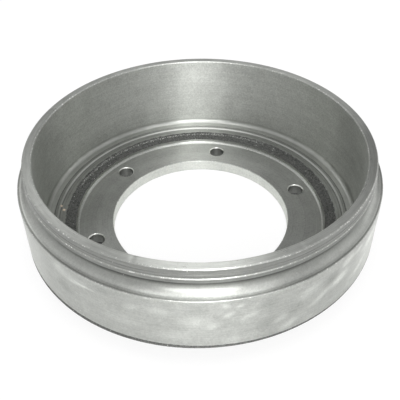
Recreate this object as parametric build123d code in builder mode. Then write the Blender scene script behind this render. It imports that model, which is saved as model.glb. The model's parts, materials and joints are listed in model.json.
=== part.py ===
from build123d import *
from math import radians, tan
import os

# Brake drum, cast in grey iron as one piece and turned all over except for a band of the web.
# It stands on its back face with the open end up. The origin is at the centre of the pilot
# bore on the back face, +Z points out of the open end, and lengths are in millimetres.

# ---- friction ring and rim ----
friction_diameter = 310.0       # surface that the shoes press on
drum_height = 104.0             # back face to rim
rim_width = 8.4                 # friction surface to the outside of the lip
rim_edge_break = 1.0            # 45 degree breaks on both rim edges

# ---- lip outside the open end, from the rim down ----
upper_band_height = 9.4
lip_step = 0.7                  # the lower band stands out by this much, on a 45 degree step
lower_band_height = 3.6
neck_recess = 2.5               # the neck lies this far inside the lower band

# ---- shoulder and outer wall ----
shoulder_drop = 12.0            # underside of the lip down to the shoulder
shoulder_width = 7.2            # lower band out to the edge of the shoulder
cove_radius = 7.5               # hollow between the neck and the shoulder
shoulder_edge_break = 0.5
wall_draft = 1.2                # degrees that the wall leans in towards the back
wall_edge_break = 0.8
wall_edge_drop = 2.5            # the wall ends this far below the ledge inside it

# ---- web, from the friction surface inwards ----
ledge_width = 2.4               # where the boring cut of the friction surface ends
foot_slope_width = 6.1
foot_slope_drop = 4.6
outer_land_width = 2.7
land_step_width = 2.3
land_step_drop = 1.3
inner_land_width = 6.2
cast_edge_width = 2.9           # slanting edge of the band that is left as cast
cast_edge_drop = 1.9
cast_band_width = 7.4
cast_band_drop = 1.5

# ---- hub seat, pilot bore and bolt holes ----
web_thickness = 12.2            # back face to the hub seat
seat_depth = 4.5                # hub seat below the cast band
seat_corner_bevel = 2.2         # hollow corner between the seat and its wall
pilot_bore_diameter = 177.0
pilot_edge_break = 0.5
bolt_circle_offset = 1.25       # bolt circle outside the middle of the hub seat
bolt_count = 6
bolt_hole_diameter = 15.5
bolt_hole_edge_break = 0.9
edge_break_cone = 90.0          # whole angle of the cone that makes a 45 degree break

# ---- back, from the pad outwards ----
back_pad_margin = 5.0           # back face past the hub seat
back_knee_height = 10.0         # where the cone of the back turns up to the wall, under the friction surface

# Radii, from the friction surface outwards and then inwards
friction_radius = friction_diameter / 2
lip_radius = friction_radius + rim_width
lower_band_radius = lip_radius + lip_step
neck_radius = lower_band_radius - neck_recess
shoulder_radius = lower_band_radius + shoulder_width
ledge_radius = friction_radius - ledge_width
foot_radius = ledge_radius - foot_slope_width
land_step_radius = foot_radius - outer_land_width
inner_land_radius = land_step_radius - land_step_width
cast_edge_radius = inner_land_radius - inner_land_width
cast_band_radius = cast_edge_radius - cast_edge_width
seat_radius = cast_band_radius - cast_band_width
back_pad_radius = seat_radius + back_pad_margin
pilot_radius = pilot_bore_diameter / 2
bolt_hole_radius = bolt_hole_diameter / 2
bolt_circle_radius = (pilot_radius + seat_radius) / 2 + bolt_circle_offset

# Heights of the web, from the back face up
seat_height = web_thickness
cast_band_low_height = seat_height + seat_depth
cast_band_high_height = cast_band_low_height + cast_band_drop
inner_land_height = cast_band_high_height + cast_edge_drop
outer_land_height = inner_land_height + land_step_drop
ledge_height = outer_land_height + foot_slope_drop

# Heights of the lip, from the rim down
step_top_height = drum_height - upper_band_height
step_bottom_height = step_top_height - lip_step
lip_underside_height = step_bottom_height - lower_band_height
shoulder_height = lip_underside_height - shoulder_drop

# Foot of the outer wall
wall_edge_height = ledge_height - wall_edge_drop
wall_edge_radius = shoulder_radius - (shoulder_height - wall_edge_height) * tan(radians(wall_draft))

# Faces that the bolts pass through
seat_face = Plane.XY.offset(seat_height)
back_face = Plane(origin=(0, 0, 0), x_dir=(1, 0, 0), z_dir=(0, 0, -1))

edge_search_tolerance = 0.01


def ring_edges(solid, radius, height):
    """The circular edges of this radius at this height."""
    circles = solid.edges().filter_by(GeomType.CIRCLE)
    return circles.filter_by(
        lambda edge: abs(edge.radius - radius) < edge_search_tolerance
        and abs(edge.center().Z - height) < edge_search_tolerance
    )


with BuildPart() as brake_drum:
    # The half section, turned round the axis
    with BuildSketch(Plane.XZ) as section:
        with BuildLine():
            # Back and outer wall, from the pilot bore outwards
            back = Polyline(
                (pilot_radius, 0),
                (back_pad_radius, 0),
                (friction_radius, back_knee_height),
                (wall_edge_radius, wall_edge_height),
                (shoulder_radius, shoulder_height),
            )
            # Shoulder, cove and neck
            neck = FilletPolyline(
                back @ 1,
                (neck_radius, shoulder_height),
                (neck_radius, lip_underside_height),
                radius=cove_radius,
            )
            # Lip in two bands, rim and friction surface
            lip = Polyline(
                neck @ 1,
                (lower_band_radius, lip_underside_height),
                (lower_band_radius, step_bottom_height),
                (lip_radius, step_top_height),
                (lip_radius, drum_height),
                (friction_radius, drum_height),
                (friction_radius, ledge_height),
            )
            # Turned lands, the band left as cast, and the hub seat
            web = Polyline(
                lip @ 1,
                (ledge_radius, ledge_height),
                (foot_radius, outer_land_height),
                (land_step_radius, outer_land_height),
                (inner_land_radius, inner_land_height),
                (cast_edge_radius, inner_land_height),
                (cast_band_radius, cast_band_high_height),
                (seat_radius, cast_band_low_height),
                (seat_radius, seat_height),
                (pilot_radius, seat_height),
            )
            Line(web @ 1, back @ 0)
        make_face()
    revolve(axis=Axis.Z)

    # Edge breaks at the rim, the shoulder, the foot of the wall and the pilot bore
    rim_edges = edges().group_by(Axis.Z)[-1]
    chamfer(rim_edges, rim_edge_break)
    shoulder_edge = ring_edges(brake_drum.part, shoulder_radius, shoulder_height)
    chamfer(shoulder_edge, shoulder_edge_break)
    wall_edge = ring_edges(brake_drum.part, wall_edge_radius, wall_edge_height)
    chamfer(wall_edge, wall_edge_break)
    pilot_edges = ring_edges(brake_drum.part, pilot_radius, 0)
    pilot_edges += ring_edges(brake_drum.part, pilot_radius, seat_height)
    chamfer(pilot_edges, pilot_edge_break)

    # The seat's hollow corner keeps a bevel of metal
    seat_corner = ring_edges(brake_drum.part, seat_radius, seat_height)
    chamfer(seat_corner, seat_corner_bevel)

    # Bolt holes, broken at both faces
    with Locations(seat_face, back_face):
        with PolarLocations(bolt_circle_radius, bolt_count):
            CounterSinkHole(
                radius=bolt_hole_radius,
                counter_sink_radius=bolt_hole_radius + bolt_hole_edge_break,
                counter_sink_angle=edge_break_cone,
            )

brake_drum.part.label = "brake_drum"

os.makedirs("parts", exist_ok=True)
export_step(brake_drum.part, "parts/brake_drum.step")
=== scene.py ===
import json
import math
import bpy
import numpy as np
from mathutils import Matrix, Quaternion, Vector


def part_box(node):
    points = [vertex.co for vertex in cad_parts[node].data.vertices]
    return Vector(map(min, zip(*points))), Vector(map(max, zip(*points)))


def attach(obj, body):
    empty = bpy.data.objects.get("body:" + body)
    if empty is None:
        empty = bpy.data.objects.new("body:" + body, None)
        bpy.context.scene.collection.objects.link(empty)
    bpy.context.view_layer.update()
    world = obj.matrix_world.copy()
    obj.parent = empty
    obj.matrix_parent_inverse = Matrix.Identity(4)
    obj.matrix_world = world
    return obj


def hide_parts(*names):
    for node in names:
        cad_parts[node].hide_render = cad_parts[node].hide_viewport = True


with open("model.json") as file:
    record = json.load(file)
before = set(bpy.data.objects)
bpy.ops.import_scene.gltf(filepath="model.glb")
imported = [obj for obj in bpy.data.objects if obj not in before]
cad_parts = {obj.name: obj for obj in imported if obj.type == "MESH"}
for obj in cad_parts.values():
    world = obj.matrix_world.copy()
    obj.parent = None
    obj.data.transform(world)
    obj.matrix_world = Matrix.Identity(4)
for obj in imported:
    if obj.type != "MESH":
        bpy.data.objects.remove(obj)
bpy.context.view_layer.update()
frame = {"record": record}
mm = 0.001
mounts = {mount["name"]: mount["dims"] for mount in frame["record"]["mounts"]}
boxLow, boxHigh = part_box("brake_drum")
print("frame loaded, drum", round(boxHigh.x / mm, 2), "mm in radius")

# shape of the drum: radii and heights above the back face, in millimetres
drum = {
    "height": boxHigh.z / mm,
    "frictionRadius": mounts["friction_surface"]["r_mm"],
    "boreRadius": mounts["pilot_bore"]["r_mm"],
    "holeCircle": mounts["bolt_holes"]["pcd_mm"] / 2,
    "holeRadius": mounts["bolt_holes"]["hole_r_mm"],
    "holeCount": mounts["bolt_holes"]["count"],
    "rimWidth": 8.4,
    "rimBreak": 1.0,
    "upperBand": 9.4,
    "lineDepth": 5.5,           # a turned line in the upper band, this far below the rim
    "lineSize": (0.55, 0.22),   # its half width and how deep it is
    "lipStep": 0.7,
    "lowerBand": 3.6,
    "neckRecess": 2.5,
    "coveRadius": 7.5,
    "shoulderRadius": min(-boxLow.x, boxHigh.x, -boxLow.y, boxHigh.y) / mm,
    "shoulderHeight": 78.3,
    "shoulderBreak": 0.5,
    "wallDraft": 1.2,
    "wallFoot": 21.9,
    "footRound": 2.2,
    "footWidth": 8.5,
    "footLow": 21.4,
    "footHigh": 22.8,
    "boreRound": 5.0,
    "outerLand": 2.7,
    "landStep": (2.3, 1.3),
    "landGroove": (0.45, 0.3),  # tool mark at both ends of the land step
    "castEdge": (135.3, 20.1),
    "castFoot": (132.4, 18.2),
    "castLow": (125.0, 16.7),
    "seatHeight": 12.2,
    "seatRound": 3.0,
    "kneeHeight": 10.0,
    "kneeRound": 6.0,
    "padRadius": 130.0,
    "boreBreak": 0.5,
    "holeBreak": 0.9,
    "edgeRound": 0.18,
}

# how finely each part of the surface is divided
division = {
    "columns": 300,
    "rimColumns": 600,
    "castColumns": 600,
    "wallColumns": 600,
    "castRows": 20,
    "hubInner": 95.0,
    "hubOuter": 120.5,
    "sideSteps": 10,
    "patchRows": 5,
    "holeMargin": 1.2,
    "smallArc": math.radians(30),
    "largeArc": math.radians(9),
}

# each cut of the drum: how bright its iron is, how rough, how speckled, how strong its turning
# lines are and how much it sparkles with wear; the pilot bore and the mouths of the bolt holes
# are paler than the iron is, so that they look bright in this light
finishes = {
    "rim": (0.52, 0.30, 0.25, 0.80, 0.0),
    "edge": (0.56, 0.40, 1.0, 0.00, 1.0),
    "lip": (0.30, 0.31, 0.5, 0.90, 0.0),
    "neck": (0.45, 0.33, 0.6, 0.40, 0.0),
    "cove": (0.47, 0.34, 0.8, 0.35, 0.0),
    "shoulder": (0.46, 0.46, 1.0, 0.25, 0.0),
    "wall": (0.53, 0.37, 1.0, 0.35, 0.0),
    "friction": (0.595, 0.44, 1.5, 0.35, 0.0),
    "foot": (0.49, 0.33, 0.3, 0.50, 0.0),
    "land": (0.37, 0.36, 0.8, 0.90, 0.0),
    "groove": (0.27, 0.48, 0.8, 0.50, 0.0),
    "seatWall": (0.52, 0.30, 1.0, 0.20, 0.0),
    "seat": (0.37, 0.38, 1.0, 0.40, 0.0),
    "pilot": (0.86, 0.36, 0.8, 0.30, 0.0),
    "mouth": (0.80, 0.36, 0.5, 0.00, 0.3),
    "drilled": (0.31, 0.36, 0.6, 0.20, 0.0),
    "cast": (0.115, 0.78, 1.0, 0.00, 0.0),
    "flank": (0.18, 0.75, 1.0, 0.00, 0.0),
    "back": (0.40, 0.45, 0.8, 0.60, 0.0),
}
finishNames = list(finishes)
finishTable = np.array(list(finishes.values()))


def roundedRun(corners):
    # straight runs joined by arcs: at a corner of round q that turns by t, the arc starts
    # q tan(t/2) before it; a corner is (radius, height, round, rows, columns, finish of the
    # run that leaves it)
    places, columns, cuts = [], [], []
    for index, (radius, height, turnRound, runRows, around, cut) in enumerate(corners):
        here = np.array([radius, height], float)
        arrives = corners[index - 1][5] if index else cut
        if 0 < index < len(corners) - 1 and turnRound > 0:
            before = np.array(corners[index - 1][:2], float) - here
            after = np.array(corners[index + 1][:2], float) - here
            before /= np.linalg.norm(before)
            after /= np.linalg.norm(after)
            turn = math.pi - math.acos(np.clip(before @ after, -1, 1))
            reach = turnRound * math.tan(turn / 2)
            middle = (before + after) / np.linalg.norm(before + after)
            centre = here + middle * turnRound / math.cos(turn / 2)
            start, end = here + before * reach - centre, here + after * reach - centre
            small = turnRound < 1
            steps = max(2, round(turn / division["smallArc" if small else "largeArc"]))
            share = np.linspace(0, 1, steps + 1)[:, None]
            swept = start * np.sin((1 - share) * turn) + end * np.sin(share * turn)
            arc = centre + swept / math.sin(turn)
            between = "edge" if small and cut not in ("cast", "groove", "drilled", "neck") else cut
            arcCuts = [arrives] + [between] * (steps - 1) + [cut]
        else:
            arc = here[None, :]
            arcCuts = [cut]
        if places and runRows > 1:
            share = np.linspace(0, 1, runRows + 1)[1:-1, None]
            run = places[-1][-1] + (arc[0] - places[-1][-1]) * share
            places.append(run)
            columns += [around] * len(run)
            cuts += [arrives] * len(run)
        places.append(arc)
        columns += [around] * len(arc)
        cuts += arcCuts
    return np.concatenate(places), np.array(columns), np.array([finishNames.index(cut) for cut in cuts])


def closedGrid(points, values):
    # a grid of (rows, columns) points, closed round its columns: quads run from each row to the next
    rows, columns = points.shape[:2]
    index = np.arange(rows * columns).reshape(rows, columns)
    nextColumn = np.roll(index, -1, axis=1)
    quads = np.stack([index[:-1], index[1:], nextColumn[1:], nextColumn[:-1]], axis=-1)
    return points.reshape(-1, 3), quads.reshape(-1, 4), values.reshape(-1, values.shape[-1])


def joinRings(coarse, fine, coarseFirst):
    # two neighbouring rings with 1 to n points: a fan from each coarse point and one triangle
    # on each coarse step
    (coarsePoints, coarseValues), (finePoints, fineValues) = coarse, fine
    ratio = len(finePoints) // len(coarsePoints)
    step = np.arange(len(coarsePoints))
    nextStep = np.roll(step, -1)
    first = len(coarsePoints) + step * ratio
    fans = []
    for place in range(ratio):
        owner = step if place < ratio // 2 else nextStep
        right = len(coarsePoints) + (step * ratio + place + 1) % len(finePoints)
        fans.append(np.stack([owner, first + place, right], axis=-1))
    fans.append(np.stack([step, first + ratio // 2, nextStep], axis=-1))
    faces = np.concatenate(fans)
    if not coarseFirst:
        faces = faces[:, ::-1]
    return np.concatenate([coarsePoints, finePoints]), faces, np.concatenate([coarseValues, fineValues])


def latticeNoise(points, size, seed):
    # smooth noise from -1 to 1: random values on a cubic lattice of this size, blended with 3t^2 - 2t^3
    scaled = points / size
    base = np.floor(scaled).astype(np.int64)
    part = scaled - base
    blend = part * part * (3 - 2 * part)
    total = np.zeros(points.shape[:-1])
    for corner in np.ndindex(2, 2, 2):
        cell = base + np.array(corner)
        mixed = (cell[..., 0] * 73856093) ^ (cell[..., 1] * 19349663)
        mixed = mixed ^ (cell[..., 2] * 83492791) ^ (seed * 2654435)
        mixed = (mixed ^ (mixed >> 13)) * 1274126177 & 0x7FFFFFFF
        value = ((mixed ^ (mixed >> 16)) & 0xFFFF) / 32767.5 - 1
        share = np.where(np.array(corner) == 1, blend, 1 - blend)
        total += value * share[..., 0] * share[..., 1] * share[..., 2]
    return total


castSkin = {
    "lump": (4.6, 0.40),
    "grain": (2.0, 0.34),
    "seed": 11,
    "riseRadius": 139.0,
    "cutDepth": 0.12,   # skin this far below the cut shows as fully cast
}


def castHeight(radius, angle):
    # height of the casting's own skin: straight runs from the seat wall outwards, plus lumps and grain
    low, foot, edge = drum["castLow"], drum["castFoot"], drum["castEdge"]
    slope = (edge[1] - foot[1]) / (edge[0] - foot[0])
    far = castSkin["riseRadius"]
    farHeight = foot[1] + slope * (far - foot[0])
    base = np.interp(radius, [low[0], foot[0], far], [low[1], foot[1], farHeight])
    place = np.stack([radius * np.cos(angle), radius * np.sin(angle), base], axis=-1)
    for number, name in enumerate(("lump", "grain")):
        size, amount = castSkin[name]
        base = base + amount * latticeNoise(place, size, castSkin["seed"] + number)
    return base


# small knocks on the rim's edges: angle, radius, length along the edge and depth, in degrees
# and millimetres
rimNicks = {
    "list": [
        (-153.7, 161.2, 1.6, 0.45), (-165.6, 162.0, 0.9, 0.35), (-159.6, 161.4, 1.0, 0.25),
        (-80.8, 161.9, 1.2, 0.45), (13.0, 155.6, 1.3, 0.35), (36.9, 155.4, 1.2, 0.35),
        (27.5, 155.3, 1.0, 0.30), (61.0, 155.4, 0.9, 0.25), (-128.0, 155.6, 1.3, 0.30),
        (-101.0, 161.9, 0.9, 0.25), (96.0, 155.4, 1.1, 0.30), (139.0, 162.0, 1.5, 0.40),
        (-58.0, 155.5, 0.9, 0.25),
    ],
    "reach": 0.8,
    "wave": (3.0, 0.035),   # slight unevenness of the broken edges: its size and how much
    "seed": 5,
}


def nickedHeight(radius, height, angle):
    # each knock lowers the metal by depth exp(-(arc/length)^2 - ((r - r0)/reach)^2)
    place = np.stack([radius * np.cos(angle), radius * np.sin(angle), height], axis=-1)
    size, amount = rimNicks["wave"]
    nearTop = np.clip((height - drum["height"] + 1.5) / 1.0, 0, 1)
    onEdge = nearTop * (height < drum["height"] - 0.02)
    height = height + amount * latticeNoise(place, size, rimNicks["seed"]) * onEdge
    for where, middle, length, depth in rimNicks["list"]:
        arc = (np.mod(angle - math.radians(where) + math.pi, 2 * math.pi) - math.pi) * radius
        away = (arc / length) ** 2 + ((radius - middle) / rimNicks["reach"]) ** 2
        height = height - depth * np.exp(-away) * nearTop
    return height


# foot of the wall: its lower edge is higher on one side, and the dark band of cast tone above it is
# wider on another; millimetres and degrees
castFoot = {
    "lift": 2.0,
    "liftTowards": -23.0,
    "fadeHeight": 60.0,
    "band": 2.4,
    "bandMore": 2.1,
    "bandTowards": -165.0,
}


# the hollow under the lip: painted light at its foot and painted shade at its top, where the lip shades
# it:
# height and share of the tone there
covePaintedLightAndShade = {"shade": ([78.6, 80.5, 83.0, 85.0, 87.0], [1.50, 1.15, 0.85, 0.60, 0.25])}


def liftedFoot(height, angle):
    # lift cos(angle - direction), whole at the foot, none at the pad and at the fade height
    whole = castFoot["lift"] * np.cos(angle - math.radians(castFoot["liftTowards"]))
    foot, fade = drum["wallFoot"], castFoot["fadeHeight"]
    return height + whole * np.interp(height, [0, foot, fade], [0, 1, 0])


def turned(corners):
    # the section turned about the axis: x = r cos a, y = r sin a, z = h, one ring of points for
    # each row; the cast skin shows where it dips below the cut land
    points, counts, cuts = roundedRun(corners)
    named = ("cast", "wall", "flank", "neck", "cove")
    castCut, wallCut, flankCut, neckCut, coveCut = (finishNames.index(name) for name in named)
    edgeHeight = drum["castEdge"][1]
    sheets = []
    previous = None
    for group in np.split(np.arange(len(points)), np.flatnonzero(np.diff(counts)) + 1):
        angle = np.arange(counts[group[0]])[None, :] * 2 * math.pi / counts[group[0]]
        radius = points[group, 0][:, None] + 0 * angle
        height = points[group, 1][:, None] + 0 * angle
        angle = angle + 0 * radius
        cut = cuts[group][:, None] + np.zeros(radius.shape, int)
        isCast = cut == castCut
        isOuter = (cut == wallCut) | (cut == flankCut)
        isCove = (cut == neckCut) | (cut == coveCut)
        skin = castHeight(radius, angle)
        height = np.where(isCast, np.minimum(skin, edgeHeight), nickedHeight(radius, height, angle))
        height = np.where(isOuter, liftedFoot(height, angle), height)
        bare = np.clip((edgeHeight - height) / castSkin["cutDepth"], 0, 1) * isCast
        look = finishTable[cut]
        # painted shade under the lip and painted light at the foot of the hollow
        look[..., 0] *= np.where(isCove, np.interp(height, *covePaintedLightAndShade["shade"]), 1)
        grid = np.stack([radius * np.cos(angle), radius * np.sin(angle), height], axis=-1)
        landLook = np.array(finishes["land"])
        look = np.where(isCast[..., None], landLook + (look - landLook) * bare[..., None], look)
        bare = bare + (cut == flankCut)
        values = np.concatenate([look, bare[..., None]], axis=-1)
        sheets.append(closedGrid(grid, values))
        if previous is not None:
            first = (previous[0][-1], previous[1][-1])
            last = (grid[0], values[0])
            if len(first[0]) < len(last[0]):
                sheets.append(joinRings(first, last, True))
            else:
                sheets.append(joinRings(last, first, False))
        previous = (grid, values)
    return sheets


def drumSection():
    d = drum
    fine, rim, plain = division["castColumns"], division["rimColumns"], division["columns"]
    small = d["edgeRound"]
    friction, top = d["frictionRadius"], d["height"]
    footRadius, footHeight = friction - d["footWidth"], d["footLow"]
    landRadius = footRadius - d["outerLand"]
    innerRadius, innerHeight = landRadius - d["landStep"][0], footHeight - d["landStep"][1]
    half, deep = d["landGroove"]
    lipRadius = friction + d["rimWidth"]
    bandRadius = lipRadius + d["lipStep"]
    neckRadius = bandRadius - d["neckRecess"]
    stepTop = top - d["upperBand"]
    stepLow = stepTop - d["lipStep"]
    underside = stepLow - d["lowerBand"]
    lineHeight, (lineHalf, lineDeep) = top - d["lineDepth"], d["lineSize"]
    shoulder, shoulderHeight = d["shoulderRadius"], d["shoulderHeight"]
    drop = math.tan(math.radians(d["wallDraft"]))
    foot = d["wallFoot"]
    wallRadius = shoulder - (shoulderHeight - foot) * drop
    return [
        (division["hubOuter"], d["seatHeight"], 0, 1, plain, "seat"),
        (d["castLow"][0], d["seatHeight"], d["seatRound"], 1, plain, "seatWall"),
        (d["castLow"][0], d["castLow"][1], 0.15, 3, fine, "cast"),
        (castSkin["riseRadius"] - 0.5, innerHeight, 0, division["castRows"], fine, "land"),
        (innerRadius - half, innerHeight, 0.05, 1, plain, "groove"),
        (innerRadius, innerHeight - deep, 0.05, 1, plain, "groove"),
        (innerRadius + half, innerHeight + 0.1, 0.1, 1, plain, "foot"),
        (landRadius - half, footHeight - 0.1, 0.1, 1, plain, "land"),
        (landRadius, footHeight, small, 1, plain, "land"),
        (footRadius - half, footHeight, 0.05, 1, plain, "groove"),
        (footRadius, footHeight - deep, 0.05, 1, plain, "groove"),
        (footRadius + half, footHeight + 0.1, 0.1, 1, plain, "foot"),
        (friction, d["footHigh"], d["boreRound"], 1, plain, "foot"),
        (friction, d["footHigh"] + d["boreRound"] + 0.5, 0, 1, plain, "friction"),
        (friction, top - 3, 0, 6, plain, "friction"),
        (friction, top - d["rimBreak"], small, 2, rim, "edge"),
        (friction + d["rimBreak"], top, small, 2, rim, "rim"),
        (lipRadius - d["rimBreak"], top, small, 1, rim, "edge"),
        (lipRadius, top - d["rimBreak"], small, 2, rim, "lip"),
        (lipRadius, lineHeight + lineHalf, 0.1, 1, plain, "groove"),
        (lipRadius - lineDeep, lineHeight, 0.1, 1, plain, "groove"),
        (lipRadius, lineHeight - lineHalf, 0.1, 1, plain, "lip"),
        (lipRadius, stepTop, small, 1, plain, "edge"),
        (bandRadius, stepLow, small, 1, plain, "lip"),
        (bandRadius, underside, 0.25, 1, plain, "neck"),
        (neckRadius, underside, 0.2, 1, plain, "neck"),
        (neckRadius, shoulderHeight + d["coveRadius"] + 0.2, 0, 3, plain, "cove"),
        (neckRadius, shoulderHeight, d["coveRadius"], 1, plain, "cove"),
        (neckRadius + d["coveRadius"] + 0.3, shoulderHeight, 0, 1, plain, "shoulder"),
        (shoulder - d["shoulderBreak"], shoulderHeight, small, 1, plain, "edge"),
        (shoulder, shoulderHeight - d["shoulderBreak"], small, 1, plain, "wall"),
        (wallRadius, foot, d["footRound"], 28, division["wallColumns"], "flank"),
        (friction, d["kneeHeight"], d["kneeRound"], 2, plain, "flank"),
        (d["padRadius"], 0, 0.5, 3, plain, "back"),
        (division["hubOuter"], 0, 0, 1, plain, "back"),
    ]


def boreSection():
    d = drum
    plain, bore, edge = division["columns"], drum["boreRadius"], drum["boreBreak"]
    return [
        (division["hubInner"], 0, 0, 1, plain, "back"),
        (bore + edge, 0, d["edgeRound"], 1, plain, "edge"),
        (bore, edge, d["edgeRound"], 1, plain, "pilot"),
        (bore, d["seatHeight"] - edge, d["edgeRound"], 2, plain, "edge"),
        (bore + edge, d["seatHeight"], d["edgeRound"], 1, plain, "seat"),
        (division["hubInner"], d["seatHeight"], 0, 1, plain, "seat"),
    ]


def holeSheet(number):
    # one sector of the hub: rows run from the back face's sector outline to the hole, up the hole
    # and out to the seat's sector outline; columns go round the hole
    d = drum
    sector = 2 * math.pi / d["holeCount"]
    arcSteps = division["columns"] // d["holeCount"]
    sides = division["sideSteps"]
    inner, outer = division["hubInner"], division["hubOuter"]
    across = np.linspace(-sector / 2, sector / 2, arcSteps + 1)
    down = np.linspace(outer, inner, sides + 1)
    radius = np.concatenate([
        np.full(arcSteps, outer), down[:-1], np.full(arcSteps, inner), down[:0:-1],
    ])
    angle = np.concatenate([
        across[:-1], np.full(sides, sector / 2), across[:0:-1], np.full(sides, -sector / 2),
    ])
    outline = np.stack([radius * np.cos(angle), radius * np.sin(angle)], axis=-1)
    around = len(outline)
    turn = (np.arange(around) - arcSteps / 2) * 2 * math.pi / around
    ring = np.stack([np.cos(turn), np.sin(turn)], axis=-1)
    hole, edge, seat = d["holeRadius"], d["holeBreak"], d["seatHeight"]
    start = hole + edge + division["holeMargin"]
    path, _, cuts = roundedRun([
        (start, 0, 0, 1, around, "back"),
        (hole + edge, 0, d["edgeRound"], 1, around, "edge"),
        (hole, edge, d["edgeRound"], 1, around, "drilled"),
        (hole, seat - edge, d["edgeRound"], 2, around, "mouth"),
        (hole + edge, seat, d["edgeRound"], 1, around, "seat"),
        (start, seat, 0, 1, around, "seat"),
    ])
    centre = np.array([d["holeCircle"], 0.0])
    tube = centre + path[:, 0][:, None, None] * ring
    share = (np.linspace(0, 1, division["patchRows"] + 1)[1:] ** 1.6)[:, None, None]
    spread = tube[-1] + (outline - tube[-1]) * share
    flat = np.zeros(spread.shape[:2])
    plan = np.concatenate([spread[::-1], tube, spread])
    height = np.concatenate([flat, path[:, 1][:, None] + np.zeros(around), flat + seat])
    swing = number * sector
    x = plan[..., 0] * math.cos(swing) - plan[..., 1] * math.sin(swing)
    y = plan[..., 0] * math.sin(swing) + plan[..., 1] * math.cos(swing)
    rows = division["patchRows"]
    backCut, seatCut = finishNames.index("back"), finishNames.index("seat")
    cuts = np.concatenate([np.full(rows, backCut), cuts, np.full(rows, seatCut)])
    look = np.concatenate([finishTable[cuts], np.zeros((len(cuts), 1))], axis=-1)
    values = look[:, None, :] + np.zeros((1, around, 1))
    return closedGrid(np.stack([x, y, height], axis=-1), values)


def weld(sheets):
    # puts the sheets together and makes one point of those that lie within a tenth of a micron
    offsets = np.cumsum([0] + [len(sheet[0]) for sheet in sheets])
    points = np.concatenate([sheet[0] for sheet in sheets])
    values = np.concatenate([sheet[2] for sheet in sheets])
    keys, first, same = np.unique(np.round(points * 1e4).astype(np.int64), axis=0,
                                  return_index=True, return_inverse=True)
    same = same.reshape(-1)
    faces = [same[sheet[1] + offset] for sheet, offset in zip(sheets, offsets)]
    return points[first], faces, values[first]


def pointNormals(points, faces):
    # mean of the faces round each point, each by its area: wide flat faces stay flat beside
    # small round edges
    normals = np.zeros_like(points)
    for group in faces:
        corners = points[group]
        last = 3 if group.shape[1] == 4 else 0
        cross = np.cross(corners[:, 2] - corners[:, 0], corners[:, last] - corners[:, 1])
        for column in range(group.shape[1]):
            np.add.at(normals, group[:, column], cross)
    return normals / np.linalg.norm(normals, axis=1, keepdims=True)


# lighter and darker smears on the outer wall: angle, height, length along the wall, height of
# the smear, slant in degrees and how much lighter; the two broadest are painted light that makes the
# wall's sides paler
wallSmearsAndSheen = [
    (-143.5, 65.3, 26, 1.1, 4, 0.9), (-146.0, 66.5, 20, 3.5, 4, 0.35),
    (-151.0, 70.0, 16, 6.0, 10, 0.45), (-123.4, 77.4, 5, 0.7, 0, 1.0),
    (-121.0, 64.0, 20, 5.0, -6, 0.5), (-128.0, 62.5, 14, 4.0, 4, 0.3),
    (-112.0, 55.0, 22, 7.0, -12, 0.35), (-103.4, 72.4, 7, 2.6, -26, 0.75),
    (-99.8, 70.2, 7, 1.6, 24, 0.85), (-102.6, 61.5, 10, 2.0, 30, 0.7),
    (-97.0, 57.5, 14, 2.4, 26, 0.55), (-106.5, 49.5, 13, 3.5, 22, 0.55),
    (-88.0, 44.0, 16, 3.2, 30, 0.5), (-85.5, 33.0, 18, 3.5, 24, 0.6),
    (-80.0, 62.0, 22, 5.0, 16, 0.35), (-75.4, 48.0, 22, 3.0, 26, 0.6),
    (-68.0, 55.0, 20, 5.0, 20, 0.8), (-65.0, 70.0, 16, 5.0, 14, 0.7),
    (-116.0, 38.0, 30, 5.0, 6, 0.35), (-131.0, 45.0, 34, 6.0, 2, 0.30),
    (-92.0, 68.0, 18, 6.0, 0, -0.2), (-110.0, 68.0, 16, 6.0, 10, -0.15),
    (-84.0, 50.0, 20, 6.0, 20, -0.25), (-72.0, 62.0, 18, 6.0, 20, -0.35),
    (-93.0, 40.0, 20, 6.0, 10, -0.2), (-136.0, 71.0, 16, 3.0, 0, -0.3),
    # (-176.0, 48.0) and (-47.0, 52.0) are the two broadest: painted light on the wall's sides
    (-150.0, 52.0, 22, 6.0, 4, -0.3), (-176.0, 48.0, 90, 40.0, 0, 0.50),
    (-47.0, 52.0, 80, 34.0, 0, 0.75), (-52.0, 64.0, 26, 5.0, 12, 0.6),
    (-57.0, 45.0, 22, 4.0, 24, 0.6), (-44.0, 58.0, 16, 5.0, 20, 0.5),
    (-60.0, 70.0, 14, 2.5, 8, 0.6), (20.0, 55.0, 40, 6.0, 8, 0.5),
    (62.0, 47.0, 30, 5.0, -14, 0.45), (110.0, 60.0, 36, 7.0, 10, 0.5),
    (150.0, 44.0, 30, 5.0, 18, 0.4), (-25.0, 50.0, 34, 6.0, -10, 0.5),
    (85.0, 66.0, 20, 4.0, 0, -0.4),
]


# the smears stay outside this radius and below this height
smearLimits = {"radius": 168.0, "height": 79.0}


def wallShade(points):
    # each smear adds strength exp(-((u/a)^2 + (v/b)^2)^1.5) in its own slanting directions u and v
    angle = np.arctan2(points[:, 1], points[:, 0])
    radius = np.hypot(points[:, 0], points[:, 1])
    total = np.zeros(len(points))
    for where, height, length, tall, slant, strength in wallSmearsAndSheen:
        arc = (np.mod(angle - math.radians(where) + math.pi, 2 * math.pi) - math.pi) * radius
        up = points[:, 2] - height
        c, s = math.cos(math.radians(slant)), math.sin(math.radians(slant))
        along, across = arc * c + up * s, up * c - arc * s
        total += strength * np.exp(-((2 * along / length) ** 2 + (across / tall) ** 2) ** 1.5)
    return total * (radius > smearLimits["radius"]) * (points[:, 2] < smearLimits["height"])


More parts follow.
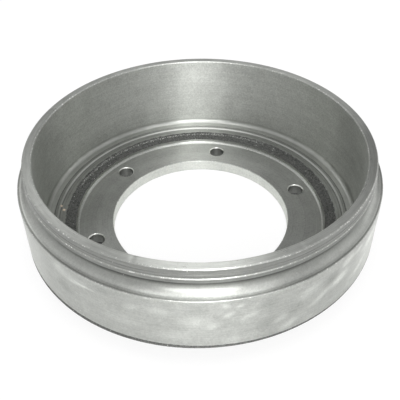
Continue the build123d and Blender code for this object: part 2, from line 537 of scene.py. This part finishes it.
def makeMesh(name, points, faces, normals, layers):
    mesh = bpy.data.meshes.new(name)
    mesh.from_pydata((points * mm).tolist(), [], [face for group in faces for face in group.tolist()])
    mesh.polygons.foreach_set("use_smooth", np.ones(len(mesh.polygons), bool))
    mesh.normals_split_custom_set_from_vertices(normals.tolist())
    for layerName, values in layers.items():
        layer = mesh.attributes.new(layerName, "FLOAT", "POINT")
        layer.data.foreach_set("value", values.astype(np.float32))
    mesh.update()
    piece = bpy.data.objects.new(name, mesh)
    bpy.context.scene.collection.objects.link(piece)
    return piece


def buildDrum():
    sheets = turned(drumSection()) + turned(boreSection())
    sheets += [holeSheet(number) for number in range(drum["holeCount"])]
    points, faces, values = weld(sheets)
    layers = dict(zip(("shade", "rough", "speckle", "lines", "worn", "bare"), values.T))
    layers["smear"] = wallShade(points)
    piece = makeMesh("drum_casting", points, faces, pointNormals(points, faces), layers)
    triangles = sum(len(group) * (group.shape[1] - 2) for group in faces)
    print("drum built:", len(points), "points,", triangles, "triangles")
    return piece


class Wire:
    # one output socket; sums on wires add their Math nodes
    def __init__(self, graph, socket):
        self.graph = graph
        self.socket = socket

    def math(self, operation, *values):
        return self.graph.node("ShaderNodeMath", {"operation": operation}, dict(enumerate(values)))

    def __add__(self, other):
        return self.math("ADD", self, other)

    __radd__ = __add__

    def __sub__(self, other):
        return self.math("SUBTRACT", self, other)

    def __rsub__(self, other):
        return self.math("SUBTRACT", other, self)

    def __mul__(self, other):
        return self.math("MULTIPLY", self, other)

    __rmul__ = __mul__

    def __truediv__(self, other):
        return self.math("DIVIDE", self, other)

    def __rtruediv__(self, other):
        return self.math("DIVIDE", other, self)

    def __pow__(self, other):
        return self.math("POWER", self, other)


class Graph:
    # a node tree that is built from expressions
    def __init__(self, tree):
        self.tree = tree
        tree.nodes.clear()

    def node(self, kind, settings=None, values=None, out=0):
        made = self.tree.nodes.new(kind)
        for name, value in (settings or {}).items():
            setattr(made, name, value)
        for name, value in (values or {}).items():
            if isinstance(value, Wire):
                self.tree.links.new(value.socket, made.inputs[name])
            else:
                made.inputs[name].default_value = value
        return Wire(self, made.outputs[out]) if len(made.outputs) else made

    def ramp(self, value, low, high):
        # 0 below low, 1 above high, smooth between
        return self.node("ShaderNodeMapRange", {"interpolation_type": "SMOOTHSTEP"},
                         {"Value": value, "From Min": low, "From Max": high})

    def blend(self, share, first, second):
        # mixes two colours
        return self.node("ShaderNodeMix", {"data_type": "RGBA"}, {0: share, 6: first, 7: second}, out=2)

    def grey(self, level, tint=(1, 1, 1)):
        # a colour of this tint, as bright as the level
        channels = {index: level * part if part != 1 else level for index, part in enumerate(tint)}
        return self.node("ShaderNodeCombineColor", {}, channels)

    def layer(self, name):
        return self.node("ShaderNodeAttribute", {"attribute_name": name}, out=2)

    def noise(self, vector, scale, detail=2.0, rough=0.5):
        return self.node("ShaderNodeTexNoise", {}, {"Vector": vector, "Scale": scale, "Detail": detail,
                                                     "Roughness": rough})

    def rings(self, along, scale, detail=2.0):
        # noise that changes only along the section, so it lies in rings round the axis
        return self.node("ShaderNodeTexNoise", {"noise_dimensions": "1D"},
                         {"W": along, "Scale": scale, "Detail": detail})

    def stretched(self, x, y, along, around, across, detail=2.0):
        # noise that is long round the drum and short along the section: cycles per millimetre each way
        vector = self.node("ShaderNodeCombineXYZ", {}, {0: x * around, 1: y * around, 2: along * across})
        return self.noise(vector, 1.0, detail)

    def specks(self, vector, spacing, size, kept):
        # small round spots in a share of the cells of a Voronoi pattern
        settings = {"Vector": vector, "Scale": 1 / spacing, "Randomness": 1.0}
        nearness = self.node("ShaderNodeTexVoronoi", {}, settings, out=0)
        picked = self.node("ShaderNodeTexVoronoi", {}, settings, out=1)
        chance = self.node("ShaderNodeSeparateColor", {}, {0: picked})
        inside = 1 - self.ramp(nearness, size * 0.6, size)
        return inside * self.ramp(chance, 1 - kept, 1 - kept + 0.001)


ironPaint = {
    "radiusShare": 0.83,    # of the radius in the measure that turning lines follow
    "tint": (0.978, 1.0, 0.950),
    "anisotropy": 0.85,
    "ringAmount": 0.55,     # turning lines
    "wideAmount": 0.12,     # slow change from one ring to the next
    "streakAmount": 0.50,   # broken lines and rubbing marks
    "grainAmount": 0.70,
    "cloudAmount": 0.34,
    "smearAmount": 0.52,
    "rubAmount": 0.11,      # paler rubbed patches on the outer wall
    "castPit": 0.9,
    "castShade": 0.15,
    "castRough": 0.75,
    "fleck": (0.70, 0.71, 0.68, 1),
    "sparkle": (0.95, 0.95, 0.92, 1),
    "rust": (0.56, 0.47, 0.37, 1),
    "rustSpots": [(158.6, 141.7, 20.6, 1.7), (161.0, 138.2, 20.1, 2.2), (150.3, 152.9, 26.0, 1.4)],
}


def footBand(graph, x, y, z, radius):
    # 1 on the dark band of cast tone at the foot of the wall: below
    # foot + lift cos(a - u) + band + more cos(a - v)
    band = castFoot
    up, wide = math.radians(band["liftTowards"]), math.radians(band["bandTowards"])
    alongX = band["lift"] * math.cos(up) + band["bandMore"] * math.cos(wide)
    alongY = band["lift"] * math.sin(up) + band["bandMore"] * math.sin(wide)
    limit = (x * alongX + y * alongY) / radius + (drum["wallFoot"] + band["band"])
    return (1 - graph.ramp(z - limit, -0.25, 0.25)) * graph.ramp(radius, 160.0, 161.0)


def ironMaterial():
    look = ironPaint
    material = bpy.data.materials.new("turnedIron")
    material.use_nodes = True
    graph = Graph(material.node_tree)
    place = graph.node("ShaderNodeTexCoord", out=3)
    inMm = graph.node("ShaderNodeVectorMath", {"operation": "SCALE"}, {0: place, "Scale": 1 / mm})
    x, y, z = (graph.node("ShaderNodeSeparateXYZ", {}, {0: inMm}, out=axis) for axis in range(3))
    radius = (x * x + y * y) ** 0.5
    along = z + radius * look["radiusShare"]
    shade, rough, speckle, lines, worn, bare, smear = (
        graph.layer(name) for name in ("shade", "rough", "speckle", "lines", "worn", "bare", "smear"))

    # the cast skin's dark tone is also given to a band at the foot of the wall, wider towards one side
    ragged = z + (graph.noise(inMm, 0.35, 2) - 0.5) * 0.9
    band = footBand(graph, x, y, ragged, radius) * (1 - bare)
    shade = shade + (look["castShade"] - shade) * band
    rough = rough + (look["castRough"] - rough) * band
    bare = bare + band
    turnedShare = 1 - bare

    # turning lines, rubbing marks, grain and clouds, each a change of brightness about 0
    fineRings = graph.rings(along, 0.9, 3) - 0.5
    wideRings = graph.rings(along, 0.14, 2) - 0.5
    streaks = graph.stretched(x, y, along, 0.07, 0.55, 3) - 0.5
    grain = graph.noise(inMm, 0.55, 3, 0.85) - 0.5
    clouds = graph.noise(inMm, 0.05, 5, 0.66) - 0.5
    # smears on the wall, with two broad patches of painted light on its sides
    smearsAndSheen = smear * (0.2 + 1.6 * graph.noise(inMm, 0.35, 4, 0.75))
    marks = lines * (look["ringAmount"] * fineRings + look["streakAmount"] * streaks)
    tone = 1 + marks + look["wideAmount"] * wideRings + look["grainAmount"] * speckle * grain
    rubbed = graph.ramp(graph.noise(inMm, 0.085, 5, 0.78), 0.50, 0.68)
    rubbed = rubbed * graph.ramp(radius, 168.5, 169.5)
    tone = tone + look["cloudAmount"] * clouds + look["smearAmount"] * smearsAndSheen
    tone = tone + look["rubAmount"] * (rubbed - 0.3)
    pits = graph.noise(inMm, 0.6, 3, 0.75)
    castTone = 1 + look["castPit"] * (pits - 0.5) * 4
    level = shade * (turnedShare * tone + bare * castTone)
    paint = graph.grey(level, look["tint"])

    # worn edges sparkle in dots
    dots = worn * graph.ramp(graph.noise(inMm, 0.55, 2, 0.8), 0.57, 0.68)
    paint = graph.blend(dots * 0.85, paint, look["sparkle"])

    # bright flecks where grains stand out of the cast skin, a few elsewhere
    flecks = graph.specks(inMm, 2.2, 0.22, 0.12) * bare
    highBand = graph.ramp(radius, 131.8, 132.6) * (1 - graph.ramp(radius, 133.4, 134.2)) * bare
    sparkle = graph.ramp(graph.noise(inMm, 0.85, 2, 0.7), 0.5, 0.62) * highBand
    sparkle = sparkle * graph.ramp(y, 60, 100)
    paint = graph.blend(flecks + sparkle * 0.75, paint, look["fleck"])
    strays = graph.specks(inMm, 7.0, 0.07, 0.12) * turnedShare
    paint = graph.blend(strays * 0.7, paint, look["sparkle"])
    darkSpots = graph.specks(inMm, 8.0, 0.06, 0.12) * turnedShare
    paint = graph.blend(darkSpots * 0.6, paint, (0.08, 0.08, 0.075, 1))

    # rust: a few spots on the web and a thin scatter inside
    rust = graph.specks(inMm, 14.0, 0.035, 0.07) * (1 - graph.ramp(radius, 155.5, 156.5))
    for where, distance, height, size in look["rustSpots"]:
        turn = math.radians(where)
        spot = (distance * math.cos(turn), distance * math.sin(turn), height)
        ends = {0: inMm, 1: spot}
        away = graph.node("ShaderNodeVectorMath", {"operation": "DISTANCE"}, ends, out=1)
        away = away + (graph.noise(inMm, 1.1, 2) - 0.5) * size
        rust = rust + (1 - graph.ramp(away, size * 0.5, size))
    paint = graph.blend(rust.math("MINIMUM", rust, 1.0), paint, look["rust"])

    roughness = rough + 0.12 * lines * fineRings + 0.12 * clouds + 0.16 * speckle * grain
    roughness = roughness - 0.06 * smearsAndSheen + 0.3 * rust
    metallic = 1 - 0.45 * bare - 0.8 * rust - 0.8 * dots - 0.8 * strays
    relief = 0.018 * lines * fineRings + 0.010 * lines * streaks + 0.012 * speckle * grain
    relief = turnedShare * relief + bare * 0.22 * pits
    bump = graph.node("ShaderNodeBump", {}, {"Strength": 1.0, "Distance": 0.001, "Height": relief})
    shader = graph.node("ShaderNodeBsdfPrincipled", {}, {
        "Base Color": paint, "Roughness": roughness, "Metallic": metallic, "Normal": bump,
        "Anisotropic": look["anisotropy"], "Anisotropic Rotation": 0.25,
    })
    graph.node("ShaderNodeOutputMaterial", {}, {0: shader})
    return material


piece = buildDrum()
piece.data.materials.append(ironMaterial())
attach(piece, "root")
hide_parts("brake_drum")
print("iron ready")

# floor, surroundings and lamps; azimuth 0 is towards -Y and grows to the right
studio = {
    "floorSize": 30.0,
    "floorAlbedo": 0.8,
    "floorSeen": 0.20,      # the part of the floor's light that the camera sees, shadows and all
    "floorWhite": 0.83,     # and the white added to it
    "darkUnder": (0.0885, 0.151),   # no white is added between these radii, under the drum
    "floorMirrored": 0.90,  # its colour as the iron mirrors it, which is a little below white
    "around": 0.63,
    "rearDark": {"amount": 0.75, "between": (0.52, 0.68)},   # heights are sines of the elevation
    "lampDistance": 1.6,
}

# the camera: angles in degrees, distance in metres and the middle of the rim in pixels
view = {
    "azimuth": -19.45,
    "elevation": 35.17,
    "roll": -0.73,
    "distance": 0.58435,
    "focalPixels": 622.9,
    "rimCentre": (199.5, 139.9),
    "imageSize": 400,
    "sensor": 36.0,
}


def makeFloor():
    half = studio["floorSize"] / 2
    mesh = bpy.data.meshes.new("floor")
    corners = [(-half, -half, 0), (half, -half, 0), (half, half, 0), (-half, half, 0)]
    mesh.from_pydata(corners, [], [(0, 1, 2, 3)])
    floor = bpy.data.objects.new("floor", mesh)
    bpy.context.scene.collection.objects.link(floor)
    material = bpy.data.materials.new("paleFloor")
    material.use_nodes = True
    graph = Graph(material.node_tree)
    toCamera = graph.node("ShaderNodeLightPath", out=0)
    toMetal = graph.node("ShaderNodeLightPath", out=3)
    plain = studio["floorAlbedo"]
    level = plain + toCamera * (studio["floorSeen"] - plain)
    level = level + toMetal * (studio["floorMirrored"] - plain)
    place = graph.node("ShaderNodeTexCoord", out=3)
    radius = graph.node("ShaderNodeVectorMath", {"operation": "LENGTH"}, {0: place}, out=1)
    inner, outer = studio["darkUnder"]
    clear = 1 - graph.ramp(radius, inner, inner + mm) * (1 - graph.ramp(radius, outer - mm, outer))
    lit = graph.node("ShaderNodeBsdfDiffuse", {}, {"Color": graph.grey(level)})
    whiteness = graph.grey(toCamera * studio["floorWhite"] * clear)
    white = graph.node("ShaderNodeEmission", {}, {"Color": whiteness})
    shader = graph.node("ShaderNodeAddShader", {}, {0: lit, 1: white})
    graph.node("ShaderNodeOutputMaterial", {}, {0: shader})
    mesh.materials.append(material)


def towards(azimuth, elevation):
    a, e = math.radians(azimuth), math.radians(elevation)
    return Vector((math.sin(a) * math.cos(e), -math.cos(a) * math.cos(e), math.sin(e)))


def makeWorld():
    # an even grey all round, darker low down behind the drum, white to the camera
    world = bpy.data.worlds.new("studio")
    bpy.context.scene.world = world
    world.use_nodes = True
    graph = Graph(world.node_tree)
    seen = graph.node("ShaderNodeLightPath", out=0)
    away = graph.node("ShaderNodeTexCoord", out=0)
    behind = towards(view["azimuth"] + 180, 0)
    facing = {0: away, 1: behind}
    rearward = graph.node("ShaderNodeVectorMath", {"operation": "DOT_PRODUCT"}, facing, out=1)
    height = graph.node("ShaderNodeSeparateXYZ", {}, {0: away}, out=2)
    low, high = studio["rearDark"]["between"]
    dark = graph.ramp(rearward, 0.3, 0.8) * (1 - graph.ramp(height, low, high))
    dark = dark * graph.ramp(height, 0.0, 0.2)
    level = studio["around"] * (1 - studio["rearDark"]["amount"] * dark)
    level = level * (1 - seen) + seen
    shader = graph.node("ShaderNodeBackground", {}, {"Color": graph.grey(level), "Strength": 1.0})
    graph.node("ShaderNodeOutputWorld", {}, {0: shader})


# round soft lamps that look at the drum: azimuth, elevation, size in metres and power in watts
softLamps = {
    "front": (-19, 24, 1.15, 10.8),
    "top": (-15, 81, 1.15, 5.6),
    "right": (60, 20, 0.80, 0.3),
    "farRight": (95, 12, 0.80, 0.7),
    "backRight": (140, 12, 0.90, 1.2),
    "rearLeft": (183, 14, 0.90, 0.7),
    "back": (190, 42, 0.50, 0.5),
    "backHigh": (162, 62, 0.60, 1.7),
    "key": (-11, 42, 0.34, 3.4),
    "keyLow": (16, 32, 0.50, 0.9),
}


def makeSoftLamps():
    for name, (azimuth, elevation, size, power) in softLamps.items():
        light = bpy.data.lights.new(name, "AREA")
        light.shape = "DISK"
        light.size = size
        light.energy = power
        lamp = bpy.data.objects.new(name, light)
        bpy.context.scene.collection.objects.link(lamp)
        back = towards(azimuth, elevation)
        lamp.location = back * studio["lampDistance"] + Vector((0, 0, drum["height"] * mm / 2))
        lamp.rotation_mode = "QUATERNION"
        lamp.rotation_quaternion = (-back).to_track_quat("-Z", "Y")


def makeCamera():
    data = bpy.data.cameras.new("camera")
    size = view["imageSize"]
    data.sensor_width = view["sensor"]
    data.lens = view["focalPixels"] * view["sensor"] / size
    data.shift_x = (size / 2 - view["rimCentre"][0]) / size
    data.shift_y = (view["rimCentre"][1] - size / 2) / size
    camera = bpy.data.objects.new("camera", data)
    bpy.context.scene.collection.objects.link(camera)
    back = towards(view["azimuth"], view["elevation"])
    camera.location = Vector((0, 0, drum["height"] * mm)) + back * view["distance"]
    camera.rotation_mode = "QUATERNION"
    turn = Quaternion((0, 0, 1), math.radians(view["roll"]))
    camera.rotation_quaternion = (-back).to_track_quat("-Z", "Y") @ turn
    bpy.context.scene.camera = camera


makeFloor()
makeWorld()
makeSoftLamps()
makeCamera()
bpy.context.scene.view_settings.view_transform = "Standard"
print("studio ready")
